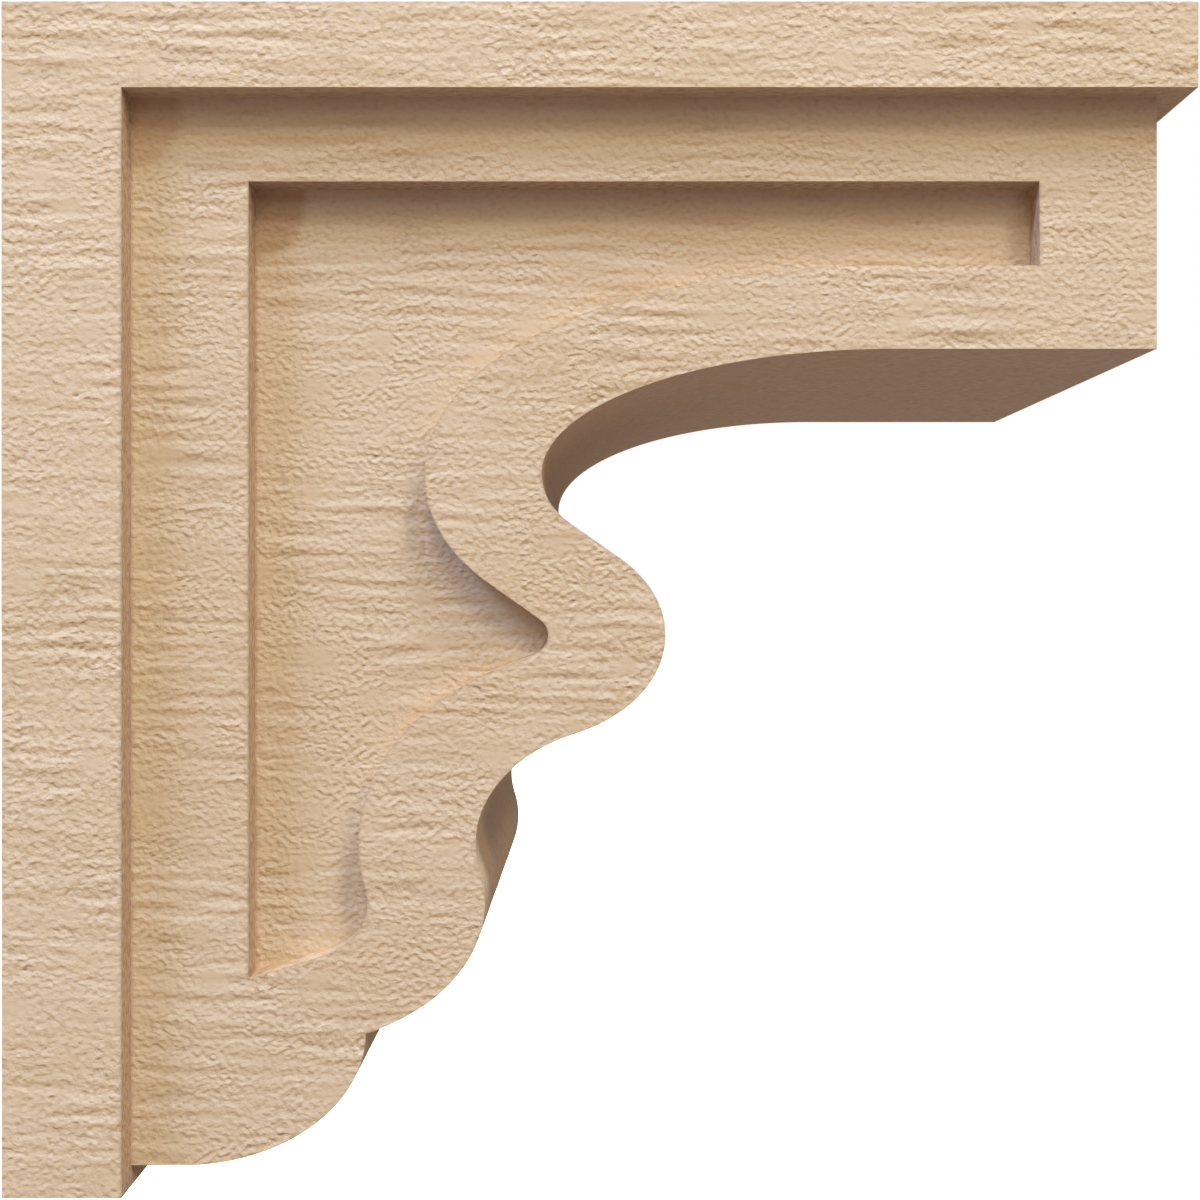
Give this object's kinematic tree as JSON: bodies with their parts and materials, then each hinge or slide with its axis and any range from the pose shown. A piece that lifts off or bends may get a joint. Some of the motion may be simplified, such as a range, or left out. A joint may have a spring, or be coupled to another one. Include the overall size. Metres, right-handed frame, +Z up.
{
  "type": "corbel",
  "caption": "Moulded timber-look corbel: a flat back plate, a top plate and a scrolled bracket with a sunk panel in each side.",
  "frame": {"origin": "middle of the flat back face, where the corbel meets the wall", "axes": "+Y out of the back face into the wall, so the corbel reaches out along -Y; +Z up, out of the top plate; X across the width"},
  "size_m": [0.1396, 0.3556, 0.3556],
  "materials": {
    "tan_primer": "matt tan primer on a moulded rough-sawn timber grain"
  },
  "bodies": {
    "root": {"corbel": "tan_primer"}
  },
  "joints": []
}
